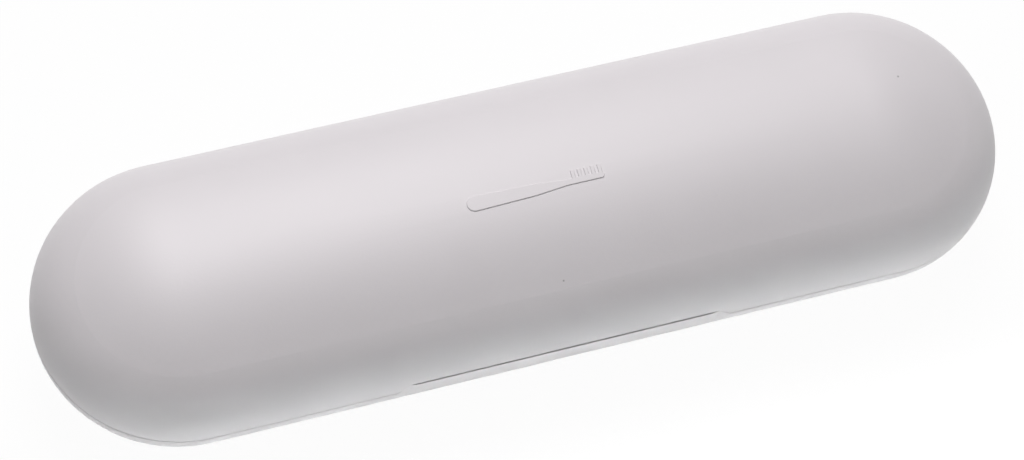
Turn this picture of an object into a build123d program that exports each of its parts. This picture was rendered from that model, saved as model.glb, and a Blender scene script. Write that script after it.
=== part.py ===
from build123d import *
import math
import os

# Hard travel case for an electric toothbrush: two pill-shaped half shells that meet in a seam at
# mid height, hinged along the back, with a fingernail slot and a sprung catch at the front.
# Frame: +X along the case, +Y to the hinge side, +Z up. The origin is under the middle of the
# case, on the surface that its feet stand on. Every size is in millimetres.

# ---------------------------------------------------------------- outside of the case
case_length = 240.0          # over the two round ends
case_width = 68.5
lid_rise = 20.5              # seam to the top of the lid
base_depth = 20.5            # seam to the underside of the base shell
side_radius = 17.0           # rounding of the long sides, in cross-section
shell_wall = 2.0
seam_band = 0.75             # straight band round the base, under the seam
seam_gap = 0.2               # parting gap between lid and base
seam_round = 0.3             # rounding of the outer edges at the seam

# ---------------------------------------------------------------- feet
foot_proud = 0.6             # feet stand this far below the underside
foot_length = 14.0           # along the case
foot_width = 24.0            # across the case
foot_place = 62.0            # middle of each foot from the middle of the case
foot_corner = 4.0
bond_gap = 0.05              # glue line under a foot or a rubber saddle

# ---------------------------------------------------------------- fingernail slot at the front
slot_length = 76.4           # along the raised edge of the lid
slot_ramp = 3.2              # length of the slope at each end of the slot
slot_rise = 2.9              # lid edge above the seam
slot_round = 1.2             # rounding of the slot's corners
slot_edge_round = 0.35       # rounding of the lid's outer edge along the slot
lip_rise = 1.5               # base lip above the seam, inside the slot
lip_side_gap = 0.15          # between the lip's ends and the lid's slopes, along the case
ear_drop = 0.5               # raised ends of the lip below the lid's edge
ear_width = 0.5              # top of each raised end
ear_slope = 1.4              # length of the slope from a raised end down to the lip
land_depth = 0.5             # flat finger land, set in from the widest line of the base

# ---------------------------------------------------------------- raised sign on the lid
sign_length = 34.0           # toothbrush seen from the side, in the middle of the lid
sign_proud = 0.25
sign_round = 0.2             # rounding of the sign's upper edges
sign_handle_length = 16.5
sign_handle_radius = 1.9
sign_neck_length = 8.0
sign_back_radius = 0.75      # back of the brush head
tuft_count = 5
tuft_width = 1.0
tuft_height = 2.8
tuft_pitch = 1.65

# ---------------------------------------------------------------- hinge
hinge_inset = 1.2            # hinge axis inside the widest line of the case
hinge_place = 48.0           # middle of each hinge from the middle of the case
barrel_radius = 2.2
base_knuckle = 7.5           # length of each base knuckle
lid_knuckle = 10.0
knuckle_gap = 0.3            # between neighbouring knuckles
barrel_clearance = 0.45      # round a barrel, in the other shell
barrel_web = 4.0             # height of the web that carries a barrel
web_inset = 0.2              # web's edges inside the shell wall
pin_radius = 1.0
pin_press = 0.02             # radial gap of the pin in the base knuckles
pin_running = 0.05           # radial gap of the pin in the lid knuckles
pin_recess = 0.4             # pin ends inside the outer knuckle faces
pin_chamfer = 0.2
relief_angle = 54.8          # slope of the relief behind the axis, on both shells

# ---------------------------------------------------------------- what the case holds
handle_radius = 14.25
handle_length = 198.0
handle_tail = -100.0         # x of the handle's flat end
handle_y = 7.0
handle_neck_radius = 7.0
handle_shoulder = 22.0       # length of the taper between body and neck
handle_neck_length = 24.0
head_radius = 6.9
head_length = 76.0
head_start = 15.0            # nearer end of each brush head from the middle of the case
head_y = -22.4
head_drop = 1.0              # axis of a brush head below the seam

# ---------------------------------------------------------------- tray in the base
tray_clearance = 0.2         # tray to base shell
tray_wall = 1.4
deck_drop = 1.0              # top of the tray's deck below the seam
handle_play = 1.25           # round the handle
head_play = 0.4              # round a brush head
skirt_depth = 6.0            # bottom of the tray's skirt below the seam
ledge_height = 1.4           # ledge in the base shell under the skirt
ledge_depth = 1.2
rim_rise = 2.4               # locating rim above the seam
rim_clearance = 0.35         # rim to lid shell
rim_wall = 1.2
dish_radius = 24.0           # shallow dish for the fingers, round the handle
dish_x = -20.0
dish_height = 11.0           # centre of the dish above the seam
bay_round = 0.6              # rounding of the bays' edges on the deck
rim_round = 0.35
end_round = 5.0              # rounding of the bays' ends
shoulder_round = 14.0

# ---------------------------------------------------------------- liner in the lid
liner_clearance = 0.2        # liner to lid shell
liner_wall = 1.3
liner_start = 3.0            # liner's lower edge above the seam
liner_round = 0.35
rib_thickness = 1.4
rib_side = 1.6               # rib beside its arch, at the rib's lower edge
rib_flare = 2.0              # further width of the rib at its root, on each side
rib_start = 4.0              # lower edge of the ribs above the seam

# ---------------------------------------------------------------- snap lugs of tray and liner
lug_places = (-78.0, -26.0, 26.0, 78.0)
lug_length = 7.0
lug_height = 1.2
lug_proud = 0.9
lug_play = 0.3
lug_drop = 3.2               # middle of a tray lug below the seam
lug_lift = 6.0               # middle of a liner lug above the seam

# ---------------------------------------------------------------- rubber saddles for the handle
saddle_tail_x = -64.0
saddle_neck_x = 26.0
tray_saddle_length = 12.0
lid_saddle_length = 8.0
lid_saddle_thickness = 1.1
saddle_grip = 0.15           # saddle to handle
saddle_edge = 2.0            # saddle edge below the seam

# ---------------------------------------------------------------- catch at the front
hook_width = 10.0
hook_thickness = 1.4
hook_rim_gap = 0.8           # hook blade to the tray's rim
barb_depth = 0.9
barb_drop = 4.0              # top of the barb below the seam
barb_slope = 1.2             # height of the barb's holding slope
barb_flat = 0.3
barb_lead = 1.6              # height of the barb's lead-in slope
hook_flange_length = 7.0
hook_flange_rise = 3.0       # underside of the hook's flange above the seam
well_play = 0.8              # beside the hook, in the tray
barb_room = 0.6              # behind the barb, in the tray
catch_gap = 0.1              # catch to hook, at rest
catch_height = 4.0
catch_width = 9.0
catch_length = 4.2           # without the nose
catch_play = 0.2             # catch in its housing
catch_stop_gap = 0.05        # catch to the wall that stops it
catch_room = 3.0             # free length behind the catch
catch_travel = 1.2
nose_width = 7.0
nose_tip = 0.8               # height of the nose's flat tip
nose_lead = 0.7
spring_radius = 1.45         # outside of the coil
spring_wire = 0.4            # diameter of the wire
spring_turns = 6
spring_play = 0.2            # round the spring, in the catch
spring_end_gap = 0.05
spring_pocket = 2.6          # depth of the spring's pocket in the catch
housing_wall = 1.4
cover_thickness = 1.2
cover_lip = 0.6              # edge of the tray round the cover
cover_play = 0.1
cover_half_length = 10.4

# ---------------------------------------------------------------- screws
screw_radius = 0.8
screw_head_radius = 1.6
screw_head_height = 0.8
screw_length = 4.6           # with the head
screw_slot = 0.5             # width of each arm of the cross recess
screw_fit = 0.02             # radial gap in the boss
screw_tip_gap = 0.5
boss_radius = 2.2
cover_screw_place = 8.2      # from the middle of the case
hook_screw_place = 2.9
hook_screw_inset = 3.6       # from the back of the hook's blade

# ---------------------------------------------------------------- drain holes in the tray
drain_radius = 1.6
handle_drains = (-88.0, -44.0, 2.0, 44.0)
head_drain = 53.0

# ---------------------------------------------------------------- worked-out places
half_width = case_width / 2
end_axis = case_length / 2 - half_width      # x of each round end's vertical axis
seam_z = foot_proud + base_depth
ear_rise = slot_rise - ear_drop
hinge_y = half_width - hinge_inset
bay_radius = handle_radius + handle_play
neck_bay_radius = handle_neck_radius + handle_play
head_bay_radius = head_radius + head_play
head_z = seam_z - head_drop
deck_z = seam_z - deck_drop
tray_inset = shell_wall + tray_clearance
rim_inset = shell_wall + rim_clearance
liner_inset = shell_wall + liner_clearance
hook_front_y = -(half_width - rim_inset - rim_wall) + hook_rim_gap
hook_back_y = hook_front_y + hook_thickness
well_back_y = hook_back_y + barb_depth + barb_room
catch_front_y = well_back_y + housing_wall + catch_stop_gap
catch_back_y = catch_front_y + catch_length
housing_back_y = catch_back_y + catch_room
cover_z = deck_z - cover_thickness
catch_top_z = cover_z - catch_play
catch_floor_z = catch_top_z - catch_height
cover_span_y = (well_back_y + cover_lip, housing_back_y + housing_wall)
cover_screw_y = (cover_span_y[0] + cover_span_y[1]) / 2
flange_z = seam_z + hook_flange_rise
hook_screw_y = hook_back_y + hook_screw_inset
reach = case_length                          # longer than anything that is cut


# ---------------------------------------------------------------- helpers
def oval_quarter(inset, rise):
    """Quarter of the case's cross-section: a side arc that runs into a flatter crown arc."""
    width = half_width - inset
    height = rise - inset
    side = side_radius - inset
    crown = (width**2 + height**2 - 2 * width * side) / (2 * (height - side))
    turn = math.degrees(math.atan2(crown - height, width - side))
    edges = [
        Line((0, 0), (width, 0)),
        CenterArc((width - side, 0), side, 0, turn),
        CenterArc((0, height - crown), crown, turn, 90 - turn),
        Line((0, height), (0, 0)),
    ]
    return make_face(Curve() + edges)


def dome(inset, rise):
    """Upper half of the pill, set in all round, with its flat face on the seam."""
    quarter = oval_quarter(inset, rise)
    section = quarter + mirror(quarter, Plane.YZ)
    middle = extrude(Plane.YZ.offset(-end_axis) * section, 2 * end_axis)
    turned = revolve(Plane.XZ * quarter, Axis.Z, 180)
    end = Pos(end_axis, 0, 0) * Rot(0, 0, -90) * turned
    return Pos(0, 0, seam_z) * (middle + end + mirror(end, Plane.YZ))


def pill(inset, low, high):
    """Upright prism on the pill's plan, set in all round, between two heights."""
    plan = SlotOverall(case_length - 2 * inset, case_width - 2 * inset)
    return extrude(Plane.XY.offset(low) * plan, high - low)


def bowl(inset):
    """Lower half of the pill, set in all round, with its straight band under the seam."""
    rounded = mirror(dome(inset, base_depth - seam_band), Plane.XY.offset(seam_z))
    return Pos(0, 0, -seam_band) * rounded + pill(inset, seam_z - seam_band, seam_z)


def slab(low, high):
    """Everything between two heights."""
    return Pos(0, 0, (low + high) / 2) * Box(2 * reach, 2 * reach, high - low)


def block(x, y, z):
    """Box from three (low, high) pairs."""
    size = [high - low for low, high in (x, y, z)]
    middle = [(high + low) / 2 for low, high in (x, y, z)]
    return Pos(*middle) * Box(*size)


def rod(radius, x, y, z):
    """Cylinder along X between two x."""
    return Pos((x[0] + x[1]) / 2, y, z) * Rot(0, 90, 0) * Cylinder(radius, x[1] - x[0])


def prism(points, low, high, plane=Plane.YZ):
    """Outline extruded across a plane, between two distances from it."""
    outline = make_face(Polyline(*points, close=True))
    return extrude(plane.offset(low) * outline, high - low)


def turned_bay(points, radii, y, z):
    """Round bay along X from its outline as (x, radius) points, with rounded corners."""
    outline = FilletPolyline(*points, radius=radii)
    start, end = points[0], points[-1]
    face = make_face(Curve() + [outline, Line(end, start)])
    return Pos(0, y, z) * revolve(face, Axis.X, 360)


def handle_bay(grow):
    """Room for the handle: flat tail, straight body, tapered shoulder and thin neck."""
    tail = handle_tail - handle_play - grow
    tip = handle_tail + handle_length + handle_play + grow
    neck = handle_tail + handle_length - handle_neck_length
    shoulder = neck - handle_shoulder
    body, thin = bay_radius + grow, neck_bay_radius + grow
    points = [(tail, 0), (tail, body), (shoulder, body), (neck, thin), (tip, thin), (tip, 0)]
    radii = [end_round + grow, shoulder_round, shoulder_round, end_round + grow]
    return turned_bay(points, radii, handle_y, seam_z)


def head_bay(side, grow):
    """Room for one brush head, left (-1) or right (+1) of the catch."""
    near = side * (head_start - head_play - grow)
    far = side * (head_start + head_length + head_play + grow)
    radius = head_bay_radius + grow
    points = [(near, 0), (near, radius), (far, radius), (far, 0)]
    return turned_bay(points, [end_round + grow] * 2, head_y, head_z)


def slot_half(rise):
    """Half length of the slot in the lid's edge, this far above the seam."""
    return slot_length / 2 + slot_ramp * (1 - rise / slot_rise)


def mirrored_outline(half):
    """Face in the XZ plane from the (x, rise above the seam) corners of its right half."""
    left = [(-x, rise) for x, rise in reversed(half)]
    return make_face(Polyline(*[(x, seam_z + rise) for x, rise in left + half], close=True))


def slot_outline():
    """Long trapezium with rounded upper corners, cut out of the lid's edge."""
    half = [(slot_half(slot_rise), slot_rise), (slot_half(seam_gap), seam_gap)]
    outline = mirrored_outline(half)
    return fillet(outline.vertices().sort_by(Axis.Y)[2:], slot_round)


def lip_outline():
    """Lip that fills the slot's foot, with raised ends that follow the lid's slopes."""
    foot = slot_half(-seam_round) - lip_side_gap
    ear = slot_half(ear_rise) - lip_side_gap
    low = ear - ear_width - ear_slope
    half = [(low, lip_rise), (ear - ear_width, ear_rise), (ear, ear_rise), (foot, -seam_round)]
    return mirrored_outline(half)


# ---------------------------------------------------------------- hinge pieces
def knuckle_spans(centre):
    """(low, high) in x of the outer base knuckle, the lid knuckle and the other base knuckle."""
    middle = lid_knuckle / 2
    inner = middle + knuckle_gap
    outer = inner + base_knuckle
    return (
        (centre - outer, centre - inner),
        (centre - middle, centre + middle),
        (centre + inner, centre + outer),
    )


def knuckle(span, side):
    """Barrel with its web, which goes down (-1) to the base wall or up (+1) to the lid wall."""
    barrel = rod(barrel_radius, span, hinge_y, seam_z)
    inner_y = half_width - shell_wall + web_inset
    web_z = seam_z + side * barrel_web
    points = [
        (hinge_y + barrel_radius, seam_z),
        (wall_y(barrel_web, side, 0) - web_inset, web_z),
        (inner_y, web_z),
        (inner_y, seam_z),
    ]
    return barrel + prism(points, span[0], span[1])


def hinge_clearance(span):
    """Room that one shell leaves for the other shell's barrel."""
    wide = (span[0] - knuckle_gap, span[1] + knuckle_gap)
    return rod(barrel_radius + barrel_clearance, wide, hinge_y, seam_z)


def hinge_relief(side):
    """Wedge behind the hinge axis that lets the shells' back edges turn past each other."""
    depth = half_width + 1 - hinge_y
    fall = depth * math.tan(math.radians(relief_angle))
    points = [
        (hinge_y, seam_z),
        (hinge_y + depth, seam_z),
        (hinge_y + depth, seam_z + side * fall),
    ]
    return prism(points, -reach / 2, reach / 2)


hinge_sides = (-hinge_place, hinge_place)


# ---------------------------------------------------------------- outer shells
def wall_y(depth, side, inset):
    """Half width inside the long wall, this far above (+1) or below (-1) the seam."""
    radius = side_radius - inset
    turned = depth if side > 0 else depth - seam_band
    return half_width - side_radius + math.sqrt(radius**2 - turned**2)


def snap_lugs(depth, side, grow):
    """Lugs on both long walls, above (+1) or below (-1) the seam; grown, they are their windows."""
    face = wall_y(depth, side, shell_wall)
    lugs = Part()
    for x in lug_places:
        for way in (-1, 1):
            y = way * (face - lug_proud / 2 + shell_wall / 4)
            size = (lug_length + 2 * grow, lug_proud + shell_wall / 2 + 2 * grow, lug_height + 2 * grow)
            lugs += Pos(x, y, seam_z + side * depth) * Box(*size)
    return lugs


def edges_between(part, heights, distances):
    """Edges between two heights, at this (least, most) distance from the case's middle line."""
    low, high = heights
    found = []
    for edge in part.edges():
        box = edge.bounding_box()
        if box.min.Z < low - 0.01 or box.max.Z > high + 0.01:
            continue
        middle = edge.position_at(0.5)
        distance = math.hypot(max(abs(middle.X) - end_axis, 0), middle.Y)
        if distances[0] < distance < distances[1]:
            found.append(edge)
    return found


def outer_edges(shell, low, high):
    """Edges of the shell's outer skin between two heights."""
    return edges_between(shell, (low, high), (half_width - shell_wall / 2, half_width + 1))


def bar(start, start_radius, end, end_radius):
    """Flat bar along X with round ends, each with its own radius."""
    first = Pos(start, 0) * Circle(start_radius)
    last = Pos(end, 0) * Circle(end_radius)
    return make_hull(first.edges() + last.edges())


def raised_sign():
    """Low relief of a toothbrush, following the crown of the lid."""
    tail = -sign_length / 2 + sign_handle_radius
    shoulder = tail + sign_handle_length - sign_handle_radius
    neck = shoulder + sign_neck_length
    tip = sign_length / 2 - sign_back_radius
    sign = bar(tail, sign_handle_radius, shoulder, 2 * sign_back_radius)
    sign += bar(shoulder, 2 * sign_back_radius, neck, sign_back_radius)
    sign += bar(neck, sign_back_radius, tip, sign_back_radius)
    for number in range(tuft_count):
        sign += Pos(tip - number * tuft_pitch, tuft_height / 2) * Rectangle(tuft_width, tuft_height)
    relief = extrude(Plane.XY.offset(seam_z) * sign, reach)
    relief = relief & Pos(0, 0, sign_proud) * dome(0, lid_rise) - dome(shell_wall / 2, lid_rise)
    top = relief.faces().sort_by(Axis.Z)[-1]
    return fillet(top.edges(), sign_round)


def lid_shell():
    shell = dome(0, lid_rise) - dome(shell_wall, lid_rise)
    front = Plane.XZ.offset(half_width - shell_wall - 1)
    shell -= extrude(front * slot_outline(), shell_wall + 2)
    seam_face = seam_z + seam_gap
    shell -= slab(seam_z - 1, seam_face)
    edges = outer_edges(shell, seam_face, seam_z + slot_rise)
    slot_edges = [edge for edge in edges if edge.bounding_box().max.Z > seam_face + seam_gap]
    shell = fillet(slot_edges, slot_edge_round)
    shell = fillet(outer_edges(shell, seam_face, seam_face), seam_round)
    shell += raised_sign()
    shell -= hinge_relief(1)
    shell += snap_lugs(lug_lift, 1, 0) & dome(shell_wall / 2, lid_rise)
    for centre in hinge_sides:
        first, middle, last = knuckle_spans(centre)
        shell += knuckle(middle, 1)
        shell -= hinge_clearance(first) + hinge_clearance(last)
        shell -= rod(pin_radius + pin_running, middle, hinge_y, seam_z)
    return shell


def base_shell():
    shell = bowl(0) - bowl(shell_wall)
    shell = fillet(outer_edges(shell, seam_z, seam_z), seam_round)
    back = Plane.XZ.offset(half_width - shell_wall)
    shell += extrude(back * lip_outline(), shell_wall)
    shell -= finger_land()
    ledge_top = seam_z - skirt_depth - tray_clearance
    ledge = (bowl(shell_wall / 2) - bowl(shell_wall + ledge_depth)) & slab(
        ledge_top - ledge_height, ledge_top
    )
    shell += ledge - hook_well(hook_front_y - hook_rim_gap)
    shell -= hinge_relief(-1)
    shell += snap_lugs(lug_drop, -1, 0) & bowl(shell_wall / 2)
    for centre in hinge_sides:
        first, middle, last = knuckle_spans(centre)
        shell += knuckle(first, -1) + knuckle(last, -1)
        shell -= hinge_clearance(middle)
        for span in (first, last):
            shell -= rod(pin_radius + pin_press, span, hinge_y, seam_z)
    return shell


def finger_land():
    """Flat cut on the front of the base, with sloping ends, under the slot."""
    outer_y = -half_width - 1
    top = slot_length / 2
    bottom = top + slot_ramp
    points = [
        (-bottom, outer_y),
        (-bottom, -half_width),
        (-top, -half_width + land_depth),
        (top, -half_width + land_depth),
        (bottom, -half_width),
        (bottom, outer_y),
    ]
    return prism(points, seam_z - side_radius / 2, seam_z + slot_rise, Plane.XY)


def foot(side):
    """Rubber foot with a flat sole, bonded to the curved underside."""
    sole = Pos(side * foot_place, 0, seam_z / 2) * Box(foot_length, foot_width, seam_z)
    sole = fillet(sole.edges().filter_by(Axis.Z), foot_corner)
    return sole - bowl(-bond_gap)


def hinge_pin(side):
    first, middle, last = knuckle_spans(side * hinge_place)
    span = (first[0] + pin_recess, last[1] - pin_recess)
    pin = rod(pin_radius, span, hinge_y, seam_z)
    return chamfer(pin.edges().filter_by(GeomType.CIRCLE), pin_chamfer)


# ---------------------------------------------------------------- tray in the base
def dish(grow):
    """Shallow bowl that makes room for a finger on both sides of the handle."""
    return Pos(dish_x, handle_y, seam_z + dish_height) * Sphere(dish_radius + grow)


def all_bays(grow):
    return handle_bay(grow) + head_bay(-1, grow) + head_bay(1, grow) + dish(grow)


def hook_well(front_y):
    """Space in the tray that the hook comes down into."""
    half = hook_width / 2 + well_play
    return block((-half, half), (front_y, well_back_y), (seam_z - side_radius / 2, seam_z + 2 * rim_rise))


def catch_housing():
    """Blocks under the deck round the catch, its cover and the cover's screws."""
    half = catch_width / 2 + catch_play + housing_wall
    floor = catch_floor_z - catch_play - housing_wall
    back_y = housing_back_y + housing_wall
    deep = block((-half, half), (well_back_y, back_y), (floor, deck_z))
    seat_half = cover_half_length + housing_wall
    seat_y = (well_back_y, back_y + cover_lip)
    seat = block((-seat_half, seat_half), seat_y, (cover_z - housing_wall, deck_z))
    for way in (-1, 1):
        boss = Cylinder(boss_radius, deck_z - floor)
        seat += Pos(way * cover_screw_place, cover_screw_y, (deck_z + floor) / 2) * boss
    return deep + seat


def catch_hollow():
    """Room in the housing for the catch, its nose, its cover and the screws."""
    half = catch_width / 2 + catch_play
    nose_half = nose_width / 2 + catch_play
    floor = catch_floor_z - catch_play
    room = block((-half, half), (well_back_y + housing_wall, housing_back_y), (floor, deck_z))
    room += block((-nose_half, nose_half), (well_back_y - 1, housing_back_y), (floor, cover_z))
    room += cover_block(cover_play, deck_z + cover_thickness)
    for way in (-1, 1):
        room += screw_hole(way * cover_screw_place, cover_screw_y, deck_z, -1)
    return room


def cover_block(grow, top):
    half = cover_half_length + grow
    y = (cover_span_y[0] - grow, cover_span_y[1] + grow)
    return block((-half, half), y, (cover_z, top))


def locating_rim():
    """Rim that stands up from the deck inside the lid's wall, rounded along its top."""
    low_rim = (bowl(rim_inset) - bowl(rim_inset + rim_wall)) & slab(deck_z - tray_wall, seam_z)
    top = seam_z + rim_rise
    high_rim = (dome(rim_inset, lid_rise) - dome(rim_inset + rim_wall, lid_rise)) & slab(seam_z, top)
    rim = low_rim + high_rim
    return fillet(edges_between(rim, (top, top), (0, half_width)), rim_round)


def base_tray():
    inner = bowl(tray_inset)
    deck = slab(deck_z - tray_wall, deck_z)
    below = slab(-reach, deck_z)
    skirt = inner - bowl(tray_inset + tray_wall)
    skirt &= slab(seam_z - skirt_depth, deck_z)
    tray = (inner & deck) + skirt + (all_bays(tray_wall) & inner & below)
    tray += catch_housing()
    tray -= all_bays(0)
    within_rim = half_width - rim_inset - rim_wall
    tray = fillet(edges_between(tray, (deck_z, deck_z), (0, within_rim)), bay_round)
    tray += locating_rim()
    tray -= hook_well(hook_front_y - hook_rim_gap)
    open_front = hook_well(-reach) & slab(-reach, seam_z - skirt_depth / 2)
    tray -= open_front
    tray -= catch_hollow()
    tray -= snap_lugs(lug_drop, -1, lug_play)
    depth = barrel_radius + barrel_clearance
    for centre in hinge_sides:
        first, middle, last = knuckle_spans(centre)
        span = (first[0] - knuckle_gap, last[1] + knuckle_gap)
        tray -= block(span, (hinge_y - depth - knuckle_gap, reach), (seam_z - depth, reach))
    for x, y in [(x, handle_y) for x in handle_drains] + [(-head_drain, head_y), (head_drain, head_y)]:
        tray -= Pos(x, y, seam_z / 2) * Cylinder(drain_radius, seam_z)
    return tray


# ---------------------------------------------------------------- rubber saddles
def saddle(x, length, inner, outer, low, high):
    """Strip of a ring round the handle, between two heights."""
    span = (x - length / 2, x + length / 2)
    ring = rod(outer, span, handle_y, seam_z) - rod(inner, span, handle_y, seam_z)
    return ring & slab(low, high)


def tray_saddle(x):
    grip = handle_radius + saddle_grip
    return saddle(x, tray_saddle_length, grip, bay_radius - bond_gap, 0, seam_z - saddle_edge)


def lid_saddle(x):
    grip = handle_radius + saddle_grip
    outer = grip + lid_saddle_thickness
    return saddle(x, lid_saddle_length, grip, outer, seam_z + rib_start, reach)


# ---------------------------------------------------------------- liner in the lid
def lid_rib(x, seat_radius):
    """Plate across the lid, with an arch for the saddle in its lower edge."""
    side = seat_radius + rib_side
    root = side + rib_flare
    points = [
        (handle_y - side, seam_z + rib_start),
        (handle_y - root, seam_z + lid_rise),
        (handle_y + root, seam_z + lid_rise),
        (handle_y + side, seam_z + rib_start),
    ]
    span = (x - rib_thickness / 2, x + rib_thickness / 2)
    return prism(points, span[0], span[1]) - rod(seat_radius, span, handle_y, seam_z)


def lid_liner():
    outer = dome(liner_inset, lid_rise)
    inside = dome(liner_inset + liner_wall, lid_rise)
    edge_z = seam_z + liner_start
    liner = (outer - inside) & slab(edge_z, reach)
    liner = fillet(edges_between(liner, (edge_z, edge_z), (0, half_width)), liner_round)
    seat_radius = handle_radius + saddle_grip + lid_saddle_thickness + bond_gap
    fill = dome(liner_inset + liner_wall / 2, lid_rise)
    for x in (saddle_tail_x, saddle_neck_x):
        for way in (-1, 1):
            rib_x = x + way * (lid_saddle_length - rib_thickness) / 2
            liner += lid_rib(rib_x, seat_radius) & fill
    top = flange_z + hook_thickness
    half = hook_width / 2
    seat = block((-half, half), (hook_back_y, hook_back_y + hook_flange_length), (top, seam_z + lid_rise))
    liner += seat & fill
    for way in (-1, 1):
        liner -= screw_hole(way * hook_screw_place, hook_screw_y, flange_z, 1)
    liner -= snap_lugs(lug_lift, 1, lug_play)
    return liner


# ---------------------------------------------------------------- screws
def screw(x, y, head_z, side):
    """Countersunk screw, head face at head_z, running down (-1) or up (+1) from it."""
    slope = screw_head_height
    outline = make_face(
        Polyline(
            (0, 0),
            (screw_head_radius, 0),
            (screw_radius, -slope),
            (screw_radius, -screw_length + screw_radius),
            (0, -screw_length),
            close=True,
        )
    )
    body = revolve(Plane.XZ * outline, Axis.Z, 360)
    arm = Box(2 * screw_radius, screw_slot, screw_head_height)
    body -= arm + Rot(0, 0, 90) * arm
    turn = Rot(0, 0, 0) if side < 0 else Rot(180, 0, 0)
    return Pos(x, y, head_z) * turn * body


def screw_hole(x, y, head_z, side):
    """Pilot hole for a screw in its boss."""
    depth = screw_length + screw_tip_gap
    return Pos(x, y, head_z + side * depth / 2) * Cylinder(screw_radius + screw_fit, depth)


def screw_seat(x, y, head_z, side):
    """Countersunk hole for a screw in the piece that it holds."""
    top = screw_head_radius + screw_fit
    low = screw_radius + screw_fit
    cone = Cone(low, top, screw_head_height) if side < 0 else Cone(top, low, screw_head_height)
    seat = Pos(x, y, head_z + side * screw_head_height / 2) * cone
    return seat + screw_hole(x, y, head_z, side)


# ---------------------------------------------------------------- catch
def lid_hook():
    """Bracket with a flange under the liner's seat and a barbed blade that goes into the tray."""
    barb_z = seam_z - barb_drop
    tip_z = barb_z - barb_slope
    lead_z = tip_z - barb_flat
    end_z = lead_z - barb_lead
    top_z = flange_z + hook_thickness
    points = [
        (hook_front_y, top_z),
        (hook_back_y + hook_flange_length, top_z),
        (hook_back_y + hook_flange_length, flange_z),
        (hook_back_y, flange_z),
        (hook_back_y, barb_z),
        (hook_back_y + barb_depth, tip_z),
        (hook_back_y + barb_depth, lead_z),
        (hook_back_y, end_z),
        (hook_front_y + hook_thickness / 3, end_z),
        (hook_front_y, lead_z),
    ]
    hook = prism(points, -hook_width / 2, hook_width / 2)
    for way in (-1, 1):
        hook -= screw_seat(way * hook_screw_place, hook_screw_y, flange_z, 1)
    return hook & dome(liner_inset + liner_wall, lid_rise) + slab(-reach, seam_z)


def catch():
    """Slider with a wedge nose that rides over the barb, and a pocket for its spring."""
    half = catch_width / 2
    z = (catch_floor_z, catch_top_z)
    body = block((-half, half), (catch_front_y, catch_back_y), z)
    tip_y = hook_back_y + catch_gap
    tip_z = seam_z - barb_drop + catch_gap
    fall = tip_z - catch_floor_z
    points = [
        (catch_back_y - spring_pocket, catch_top_z),
        (tip_y + nose_lead, catch_top_z),
        (tip_y, tip_z + nose_tip),
        (tip_y, tip_z),
        (tip_y + fall * barb_depth / barb_slope, catch_floor_z),
        (catch_back_y - spring_pocket, catch_floor_z),
    ]
    body += prism(points, -nose_width / 2, nose_width / 2)
    radius = spring_radius + spring_play
    pocket = Cylinder(radius, spring_pocket)
    middle_z = (catch_top_z + catch_floor_z) / 2
    pocket_y = catch_back_y - spring_pocket / 2
    return body - Pos(0, pocket_y, middle_z) * Rot(90, 0, 0) * pocket


def catch_spring():
    start = catch_back_y - spring_pocket + spring_end_gap + spring_wire / 2
    length = housing_back_y - spring_end_gap - spring_wire / 2 - start
    path = Helix(length / spring_turns, length, spring_radius - spring_wire / 2)
    wire = (path ^ 0) * Circle(spring_wire / 2)
    coil = sweep(wire, path, is_frenet=True)
    middle_z = (catch_top_z + catch_floor_z) / 2
    return Pos(0, start, middle_z) * Rot(-90, 0, 0) * coil


def catch_cover():
    cover = cover_block(0, deck_z)
    for way in (-1, 1):
        cover -= screw_seat(way * cover_screw_place, cover_screw_y, deck_z, -1)
    return cover


# ---------------------------------------------------------------- the pieces
pieces = {
    "base_shell": base_shell,
    "base_tray": base_tray,
    "tray_saddle_tail": lambda: tray_saddle(saddle_tail_x),
    "tray_saddle_neck": lambda: tray_saddle(saddle_neck_x),
    "hinge_pin_left": lambda: hinge_pin(-1),
    "hinge_pin_right": lambda: hinge_pin(1),
    "foot_left": lambda: foot(-1),
    "foot_right": lambda: foot(1),
    "lid_shell": lid_shell,
    "lid_liner": lid_liner,
    "lid_saddle_tail": lambda: lid_saddle(saddle_tail_x),
    "lid_saddle_neck": lambda: lid_saddle(saddle_neck_x),
    "lid_hook": lid_hook,
    "hook_screw_left": lambda: screw(-hook_screw_place, hook_screw_y, flange_z, 1),
    "hook_screw_right": lambda: screw(hook_screw_place, hook_screw_y, flange_z, 1),
    "catch": catch,
    "catch_spring": catch_spring,
    "catch_cover": catch_cover,
    "cover_screw_left": lambda: screw(-cover_screw_place, cover_screw_y, deck_z, -1),
    "cover_screw_right": lambda: screw(cover_screw_place, cover_screw_y, deck_z, -1),
}

if __name__ == "__main__":
    os.makedirs("parts", exist_ok=True)
    for name, make in pieces.items():
        piece = make()
        export_step(piece, f"parts/{name}.step")
        print(name, len(piece.solids()), "solid", piece.is_valid, round(piece.volume, 1))
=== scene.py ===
"""Looks of a hard travel case for an electric toothbrush.

The case lies closed on a white table. Its two half shells are matte moulded plastic with a fine
spark-eroded grain. The fitted insert, the rubber saddles and feet, the steel pins, screws and
spring, and the slippery catch show when the lid is open or from below.
"""

import math

import bmesh
import bpy
from bpy.props import FloatProperty, FloatVectorProperty, PointerProperty
from mathutils import Matrix, Vector


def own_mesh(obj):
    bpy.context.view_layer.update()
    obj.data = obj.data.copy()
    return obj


bl_info = {
    "name": "Toothbrush Travel Case",
    "version": (1, 0, 0),
    "blender": (4, 5, 0),
    "location": "View3D > Sidebar > Travel Case",
    "description": "Dresses the moulded travel case and sets it on a plain white table",
    "category": "Object",
}

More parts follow.
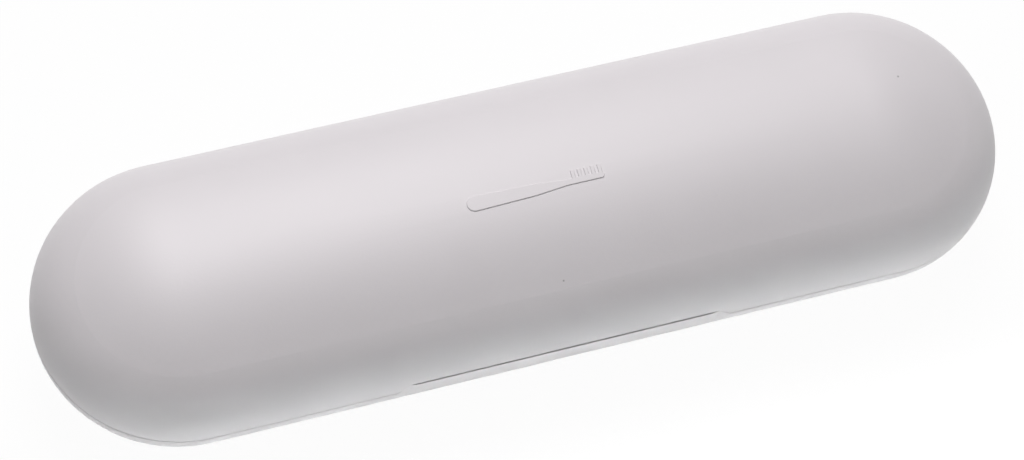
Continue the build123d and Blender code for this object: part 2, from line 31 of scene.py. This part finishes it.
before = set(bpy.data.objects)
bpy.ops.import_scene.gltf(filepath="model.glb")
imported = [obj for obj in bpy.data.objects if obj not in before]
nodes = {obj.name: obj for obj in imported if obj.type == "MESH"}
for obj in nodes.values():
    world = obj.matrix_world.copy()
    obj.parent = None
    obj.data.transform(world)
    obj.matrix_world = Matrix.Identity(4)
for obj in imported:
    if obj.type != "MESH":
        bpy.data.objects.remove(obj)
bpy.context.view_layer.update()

PIT_FREQUENCY_SHARE = 0.45  # pits per grain of the moulded texture, along a line


# ---------------------------------------------------------------- settings
def colour(name, description, default):
    return FloatVectorProperty(
        name=name,
        description=description,
        subtype="COLOR",
        size=3,
        min=0.0,
        max=1.0,
        default=default,
    )


def factor(name, description, default):
    return FloatProperty(
        name=name, description=description, subtype="FACTOR", min=0.0, max=1.0, default=default
    )


def length(name, description, default):
    return FloatProperty(
        name=name, description=description, unit="LENGTH", min=0.0, precision=5, default=default
    )


def power(name, description, default):
    return FloatProperty(
        name=name, description=description, unit="POWER", min=0.0, default=default
    )


class CaseFinish(bpy.types.PropertyGroup):
    """Colours and surface texture of the case's materials."""

    shell_colour: colour("Shell colour", "Both half shells", (0.695, 0.678, 0.690))
    shell_roughness: factor("Shell roughness", "Both half shells", 0.42)
    insert_colour: colour("Insert colour", "Tray, lid liner and catch cover", (0.56, 0.55, 0.56))
    insert_roughness: factor("Insert roughness", "Tray, lid liner and catch cover", 0.55)
    rubber_colour: colour("Rubber colour", "Saddles and feet", (0.17, 0.17, 0.18))
    rubber_roughness: factor("Rubber roughness", "Saddles and feet", 0.72)
    catch_colour: colour("Catch colour", "Catch and hook", (0.74, 0.73, 0.7))
    catch_roughness: factor("Catch roughness", "Catch and hook", 0.34)
    steel_colour: colour("Steel colour", "Pins, screws and spring", (0.44, 0.44, 0.45))
    steel_roughness: factor("Steel roughness", "Pins, screws and spring", 0.32)
    steel_variation: factor("Steel variation", "Change of the steel's roughness both ways", 0.1)
    steel_grain: FloatProperty(
        name="Steel grain", description="Grains per metre on the steel", min=0.0, default=1500.0
    )
    grain_size: length("Grain size", "Width of one grain of the moulded texture", 0.00035)
    grain_depth: length("Grain depth", "Height of the moulded texture", 0.00001)
    tone_variation: factor("Tone variation", "Change of a plastic's brightness both ways", 0.025)
    sheen_variation: factor("Sheen variation", "Change of a plastic's roughness both ways", 0.05)
    speck_share: factor("Specks", "Share of the speck cells in the shells that hold one", 0.15)
    speck_tone: factor("Speck tone", "Brightness of a speck, as a share of its plastic's", 0.6)


class StageLight(bpy.types.PropertyGroup):
    """Lamps, room light and table."""

    key_power: power("Back softbox", "Lamp behind the case, high up", 7.9)
    top_power: power("Top softbox", "Smaller lamp above the case", 2.8)
    fill_power: power("Front fill", "Wide low lamp in front of the case", 0.7)
    strip_power: power(
        "Table strip", "Lamp that lights the table in front, and so the case from below", 1.32
    )
    softbox_tint: colour("Softbox tint", "Back and top softbox", (1.0, 0.968, 0.985))
    front_tint: colour("Front tint", "Front fill and table strip", (0.97, 1.0, 0.99))
    sky_level: factor("Room light", "Strength of the even light from all round", 0.105)
    table_colour: colour("Table colour", "White table under the case", (0.9, 0.9, 0.9))
    table_white: factor("Table white", "Share of plain white that the camera sees", 0.965)
    table_radius: length("Table radius", "Round table, wider than the camera sees", 6.0)
    table_drop: length("Table drop", "Table below the feet, so that no two faces coincide", 0.00003)


class CameraView(bpy.types.PropertyGroup):
    """The photograph's viewing angle."""

    azimuth: FloatProperty(
        name="Azimuth", description="Round the case from its front", default=-34.14
    )
    elevation: FloatProperty(
        name="Elevation", description="Above the table, in degrees", default=66.87
    )
    roll: FloatProperty(name="Roll", description="Tilt of the camera, in degrees", default=18.90)
    distance: length("Distance", "Lens to the middle of the case", 0.8063)
    focal_length: FloatProperty(name="Lens", description="Focal length in mm", default=118.18)
    film_width: FloatProperty(name="Film", description="Width of the film in mm", default=36.0)
    aim_height: length("Aim height", "Point that the camera looks at, above the table", 0.02098)
    shift: FloatVectorProperty(
        name="Shift",
        description="Offset of the case in the frame, in frame widths",
        size=2,
        default=(-0.01248, -0.00721),
    )


# ---------------------------------------------------------------- material helpers
def new_group(name, inputs, outputs):
    """Empty shader node group with float or vector sockets, and its two end nodes."""
    group = bpy.data.node_groups.new(name, "ShaderNodeTree")
    for socket, kind, default in inputs:
        made = group.interface.new_socket(socket, in_out="INPUT", socket_type=kind)
        if default is not None:
            made.default_value = default
    for socket, kind in outputs:
        group.interface.new_socket(socket, in_out="OUTPUT", socket_type=kind)
    start = group.nodes.new("NodeGroupInput")
    end = group.nodes.new("NodeGroupOutput")
    return group, start, end


def feed(tree, socket, value):
    """Links a socket to an input, or writes a number or a colour there."""
    if isinstance(value, bpy.types.NodeSocket):
        tree.links.new(value, socket)
    elif isinstance(value, float):
        socket.default_value = value
    else:
        socket.default_value = (*value, 1.0)


def math_node(tree, operation, first, second):
    """Math node whose inputs are sockets or numbers."""
    node = tree.nodes.new("ShaderNodeMath")
    node.operation = operation
    feed(tree, node.inputs[0], first)
    feed(tree, node.inputs[1], second)
    return node.outputs[0]


def shared(name, make):
    """Node group by name, made on its first use."""
    return bpy.data.node_groups.get(name) or make(name)


def moulded_grain(name):
    """Spark-eroded mould texture: a height of fine grain and pits, and a slow mottle."""
    group, start, end = new_group(
        name,
        [("Vector", "NodeSocketVector", None), ("Frequency", "NodeSocketFloat", 3000.0)],
        [("Height", "NodeSocketFloat"), ("Mottle", "NodeSocketFloat")],
    )
    fine = group.nodes.new("ShaderNodeTexNoise")
    fine.inputs["Detail"].default_value = 3.0
    fine.inputs["Roughness"].default_value = 0.65
    group.links.new(start.outputs["Vector"], fine.inputs["Vector"])
    group.links.new(start.outputs["Frequency"], fine.inputs["Scale"])
    pits = group.nodes.new("ShaderNodeTexVoronoi")
    pits.feature = "SMOOTH_F1"
    pits.inputs["Smoothness"].default_value = 0.6
    group.links.new(start.outputs["Vector"], pits.inputs["Vector"])
    pit_frequency = math_node(group, "MULTIPLY", start.outputs["Frequency"], PIT_FREQUENCY_SHARE)
    group.links.new(pit_frequency, pits.inputs["Scale"])
    pitted = math_node(group, "MULTIPLY", fine.outputs["Fac"], pits.outputs["Distance"])
    height = math_node(group, "ADD", pitted, fine.outputs["Fac"])
    group.links.new(height, end.inputs["Height"])
    slow = group.nodes.new("ShaderNodeTexNoise")
    slow.inputs["Scale"].default_value = 55.0
    slow.inputs["Detail"].default_value = 4.0
    group.links.new(start.outputs["Vector"], slow.inputs["Vector"])
    group.links.new(slow.outputs["Fac"], end.inputs["Mottle"])
    return group


def specks(name):
    """Mask of sparse round specks: Frequency cells per metre, of which a Share holds a speck."""
    group, start, end = new_group(
        name,
        [
            ("Vector", "NodeSocketVector", None),
            ("Frequency", "NodeSocketFloat", 160.0),
            ("Size", "NodeSocketFloat", 0.045),
            ("Share", "NodeSocketFloat", 0.0),
        ],
        [("Mask", "NodeSocketFloat")],
    )
    cells = group.nodes.new("ShaderNodeTexVoronoi")
    cells.feature = "F1"
    cells.inputs["Randomness"].default_value = 1.0
    group.links.new(start.outputs["Vector"], cells.inputs["Vector"])
    group.links.new(start.outputs["Frequency"], cells.inputs["Scale"])
    near = math_node(group, "LESS_THAN", cells.outputs["Distance"], start.outputs["Size"])
    split = group.nodes.new("ShaderNodeSeparateColor")
    group.links.new(cells.outputs["Color"], split.inputs["Color"])
    chosen = math_node(group, "LESS_THAN", split.outputs["Red"], start.outputs["Share"])
    group.links.new(math_node(group, "MULTIPLY", near, chosen), end.inputs["Mask"])
    return group


def new_material(name):
    """Principled material, with its node tree, its shader and the Object coordinates."""
    material = bpy.data.materials.new(name)
    material.use_nodes = True
    tree = material.node_tree
    place = tree.nodes.new("ShaderNodeTexCoord")
    return material, tree, tree.nodes["Principled BSDF"], place.outputs["Object"]


def place_group(tree, group, vector, **values):
    """Group node fed with a vector and its own values."""
    node = tree.nodes.new("ShaderNodeGroup")
    node.node_tree = group
    tree.links.new(vector, node.inputs["Vector"])
    for name, value in values.items():
        node.inputs[name].default_value = value
    return node


def blend_colours(tree, mask, first, second):
    """Colour that goes from the first to the second with a mask."""
    node = tree.nodes.new("ShaderNodeMix")
    node.data_type = "RGBA"
    feed(tree, node.inputs["Factor"], mask)
    feed(tree, node.inputs["A"], first)
    feed(tree, node.inputs["B"], second)
    return node.outputs["Result"]


def vary_roughness(tree, shader, value, middle, variation):
    """Roughness that swings both ways round its middle with a value from 0 to 1."""
    node = tree.nodes.new("ShaderNodeMapRange")
    node.inputs["To Min"].default_value = middle - variation
    node.inputs["To Max"].default_value = middle + variation
    tree.links.new(value, node.inputs["Value"])
    tree.links.new(node.outputs["Result"], shader.inputs["Roughness"])


def add_bump(tree, shader, height, distance):
    """Bump node at full strength between a height and the shader's normal."""
    bump = tree.nodes.new("ShaderNodeBump")
    bump.inputs["Distance"].default_value = distance
    bump.inputs["Strength"].default_value = 1.0
    tree.links.new(height, bump.inputs["Height"])
    tree.links.new(bump.outputs["Normal"], shader.inputs["Normal"])


def scaled(rgb, amount):
    return tuple(channel * amount for channel in rgb)


def moulded_plastic(name, rgb, roughness, finish, speck_share=0.0):
    """Matte moulded plastic: grain, a slow mottle in tone and sheen, and a few specks."""
    material, tree, shader, place = new_material(name)
    grain = place_group(
        tree, shared("Moulded grain", moulded_grain), place, Frequency=1.0 / finish.grain_size
    )
    mottle = grain.outputs["Mottle"]
    dark, light = scaled(rgb, 1.0 - finish.tone_variation), scaled(rgb, 1.0 + finish.tone_variation)
    tone = blend_colours(tree, mottle, dark, light)
    speck = place_group(tree, shared("Specks", specks), place, Share=speck_share)
    specked = blend_colours(tree, speck.outputs["Mask"], tone, scaled(rgb, finish.speck_tone))
    tree.links.new(specked, shader.inputs["Base Color"])
    vary_roughness(tree, shader, mottle, roughness, finish.sheen_variation)
    add_bump(tree, shader, grain.outputs["Height"], finish.grain_depth)
    return material


def drawn_steel(name, finish):
    """Dull steel whose sheen changes with a fine grain."""
    material, tree, shader, place = new_material(name)
    shader.inputs["Base Color"].default_value = (*finish.steel_colour, 1.0)
    shader.inputs["Metallic"].default_value = 1.0
    grain = place_group(
        tree, shared("Moulded grain", moulded_grain), place, Frequency=finish.steel_grain
    )
    height = grain.outputs["Height"]
    vary_roughness(tree, shader, height, finish.steel_roughness, finish.steel_variation)
    return material


def dress(material, *names):
    """Gives CAD nodes one material."""
    for name in names:
        mesh = nodes[name].data
        mesh.materials.clear()
        mesh.materials.append(material)


# ---------------------------------------------------------------- pieces
class CASE_OT_shells(bpy.types.Operator):
    """Finishes the two half shells in matte light plastic"""

    bl_idname = "travel_case.shells"
    bl_label = "Half Shells"

    def execute(self, context):
        finish = context.scene.case_finish
        plastic = moulded_plastic(
            "shell plastic",
            finish.shell_colour,
            finish.shell_roughness,
            finish,
            finish.speck_share,
        )
        dress(plastic, "lid_shell", "base_shell")
        return {"FINISHED"}


class CASE_OT_inserts(bpy.types.Operator):
    """Finishes the tray, the lid's liner and the catch cover in a slightly darker plastic"""

    bl_idname = "travel_case.inserts"
    bl_label = "Tray and Liner"

    def execute(self, context):
        finish = context.scene.case_finish
        plastic = moulded_plastic(
            "insert plastic", finish.insert_colour, finish.insert_roughness, finish
        )
        dress(plastic, "base_tray", "lid_liner", "catch_cover")
        return {"FINISHED"}


class CASE_OT_rubber(bpy.types.Operator):
    """Finishes the handle's saddles and the feet in soft grey rubber"""

    bl_idname = "travel_case.rubber"
    bl_label = "Saddles and Feet"

    def execute(self, context):
        finish = context.scene.case_finish
        rubber = moulded_plastic(
            "soft rubber", finish.rubber_colour, finish.rubber_roughness, finish
        )
        dress(
            rubber,
            "tray_saddle_tail",
            "tray_saddle_neck",
            "lid_saddle_tail",
            "lid_saddle_neck",
            "foot_left",
            "foot_right",
        )
        return {"FINISHED"}


class CASE_OT_hardware(bpy.types.Operator):
    """Finishes the pins, screws and spring in steel, and the catch and hook in slippery plastic"""

    bl_idname = "travel_case.hardware"
    bl_label = "Hinge Pins, Screws and Catch"

    def execute(self, context):
        finish = context.scene.case_finish
        dress(
            drawn_steel("drawn steel", finish),
            "hinge_pin_left",
            "hinge_pin_right",
            "hook_screw_left",
            "hook_screw_right",
            "cover_screw_left",
            "cover_screw_right",
            "catch_spring",
        )
        slippery = moulded_plastic(
            "catch plastic", finish.catch_colour, finish.catch_roughness, finish
        )
        dress(slippery, "catch", "lid_hook")
        self.seat_spring()
        return {"FINISHED"}

    def seat_spring(self):
        """Gives the spring its own copy of its mesh; its shape is left as it is."""
        spring = nodes["catch_spring"]
        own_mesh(spring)


# ---------------------------------------------------------------- stage
def area_light(name, watts, tint, size, place, aim=(0.0, 0.0, 0.0), spread=180.0):
    """Rectangular lamp at a place, turned to the aim; a small spread keeps its light in a beam."""
    lamp = bpy.data.lights.new(name, "AREA")
    lamp.shape = "RECTANGLE"
    lamp.size, lamp.size_y = size
    lamp.energy = watts
    lamp.color = tint
    lamp.spread = math.radians(spread)
    light = bpy.data.objects.new(name, lamp)
    light.location = place
    light.rotation_euler = (Vector(aim) - Vector(place)).to_track_quat("-Z", "Y").to_euler()
    bpy.context.scene.collection.objects.link(light)


def camera_rays(tree):
    """1 for what the camera sees directly, in a mirror or through glass."""
    rays = tree.nodes.new("ShaderNodeLightPath").outputs
    seen = math_node(tree, "MAXIMUM", rays["Is Camera Ray"], rays["Is Glossy Ray"])
    return math_node(tree, "MAXIMUM", seen, rays["Is Transmission Ray"])


class CASE_OT_stage(bpy.types.Operator):
    """Sets the table, the even room light, the lamps and the camera"""

    bl_idname = "travel_case.stage"
    bl_label = "Table, Lights and Camera"

    def execute(self, context):
        light = context.scene.case_light
        self.make_table(light)
        self.make_room(context, light)
        self.make_lamps(light)
        self.make_camera(context, context.scene.case_camera)
        context.scene.view_settings.view_transform = "Standard"
        return {"FINISHED"}

    def make_table(self, light):
        shape = bmesh.new()
        drop = Matrix.Translation((0.0, 0.0, -light.table_drop))
        bmesh.ops.create_circle(
            shape, cap_ends=True, segments=96, radius=light.table_radius, matrix=drop
        )
        mesh = bpy.data.meshes.new("table")
        shape.to_mesh(mesh)
        shape.free()
        table = bpy.data.objects.new("table", mesh)
        bpy.context.scene.collection.objects.link(table)
        material = bpy.data.materials.new("white table")
        material.use_nodes = True
        tree = material.node_tree
        tree.nodes.clear()
        paper = tree.nodes.new("ShaderNodeBsdfDiffuse")
        paper.inputs["Color"].default_value = (*light.table_colour, 1.0)
        white = tree.nodes.new("ShaderNodeEmission")
        both = tree.nodes.new("ShaderNodeMixShader")
        share = math_node(tree, "MULTIPLY", camera_rays(tree), light.table_white)
        tree.links.new(share, both.inputs[0])
        tree.links.new(paper.outputs[0], both.inputs[1])
        tree.links.new(white.outputs[0], both.inputs[2])
        end = tree.nodes.new("ShaderNodeOutputMaterial")
        tree.links.new(both.outputs[0], end.inputs["Surface"])
        mesh.materials.append(material)

    def make_room(self, context, light):
        world = bpy.data.worlds.new("white room")
        context.scene.world = world
        world.use_nodes = True
        tree = world.node_tree
        room = tree.nodes["Background"]
        room.inputs["Color"].default_value = (1.0, 1.0, 1.0, 1.0)
        level = tree.nodes.new("ShaderNodeMapRange")
        level.inputs["To Min"].default_value = light.sky_level
        level.inputs["To Max"].default_value = 1.0
        tree.links.new(camera_rays(tree), level.inputs["Value"])
        tree.links.new(level.outputs["Result"], room.inputs["Strength"])

    def make_lamps(self, light):
        area_light(
            "back softbox",
            light.key_power,
            light.softbox_tint,
            size=(0.5, 0.7),
            place=(0.05, 0.63, 0.9),
        )
        area_light(
            "top softbox",
            light.top_power,
            light.softbox_tint,
            size=(0.4, 0.5),
            place=(0.05, 0.35, 1.1),
        )
        area_light(
            "front fill",
            light.fill_power,
            light.front_tint,
            size=(1.4, 0.16),
            place=(-0.4, -1.0, 0.1),
        )
        area_light(
            "table strip",
            light.strip_power,
            light.front_tint,
            size=(0.6, 0.3),
            place=(0.0, -0.21, 0.4),
            aim=(0.0, -0.21, 0.0),
            spread=6.0,
        )

    def make_camera(self, context, view):
        turn, tilt, roll = map(math.radians, (view.azimuth, view.elevation, view.roll))
        back = Vector(
            (
                math.sin(turn) * math.cos(tilt),
                -math.cos(turn) * math.cos(tilt),
                math.sin(tilt),
            )
        )
        right = (-back).cross(Vector((0.0, 0.0, 1.0))).normalized()
        up = back.cross(right)
        across = right * math.cos(roll) + up * math.sin(roll)
        upward = up * math.cos(roll) - right * math.sin(roll)
        lens = bpy.data.cameras.new("camera")
        lens.lens = view.focal_length
        lens.sensor_width = view.film_width
        lens.shift_x, lens.shift_y = view.shift
        lens.clip_start, lens.clip_end = 0.01, 50.0
        camera = bpy.data.objects.new("camera", lens)
        axes = Matrix((across, upward, back)).transposed().to_4x4()
        place = Vector((0.0, 0.0, view.aim_height)) + back * view.distance
        camera.matrix_world = Matrix.Translation(place) @ axes
        context.scene.collection.objects.link(camera)
        context.scene.camera = camera


# ---------------------------------------------------------------- panel
class CASE_PT_panel(bpy.types.Panel):
    """Sidebar panel with the case's settings and pieces"""

    bl_idname = "CASE_PT_panel"
    bl_label = "Travel Case"
    bl_space_type = "VIEW_3D"
    bl_region_type = "UI"
    bl_category = "Travel Case"

    def draw(self, context):
        scene = context.scene
        for group in (scene.case_finish, scene.case_light, scene.case_camera):
            box = self.layout.box()
            for name in group.__annotations__:
                box.prop(group, name)
        for operator in pieces_in_order:
            self.layout.operator(operator.bl_idname)


pieces_in_order = (
    CASE_OT_shells,
    CASE_OT_inserts,
    CASE_OT_rubber,
    CASE_OT_hardware,
    CASE_OT_stage,
)
classes = (CaseFinish, StageLight, CameraView, *pieces_in_order, CASE_PT_panel)


def register():
    for cls in classes:
        bpy.utils.register_class(cls)
    bpy.types.Scene.case_finish = PointerProperty(type=CaseFinish)
    bpy.types.Scene.case_light = PointerProperty(type=StageLight)
    bpy.types.Scene.case_camera = PointerProperty(type=CameraView)


def unregister():
    del bpy.types.Scene.case_camera
    del bpy.types.Scene.case_light
    del bpy.types.Scene.case_finish
    for cls in reversed(classes):
        bpy.utils.unregister_class(cls)


def main():
    register()
    bpy.ops.travel_case.shells()
    bpy.ops.travel_case.inserts()
    bpy.ops.travel_case.rubber()
    bpy.ops.travel_case.hardware()
    bpy.ops.travel_case.stage()


if __name__ == "__main__":
    main()
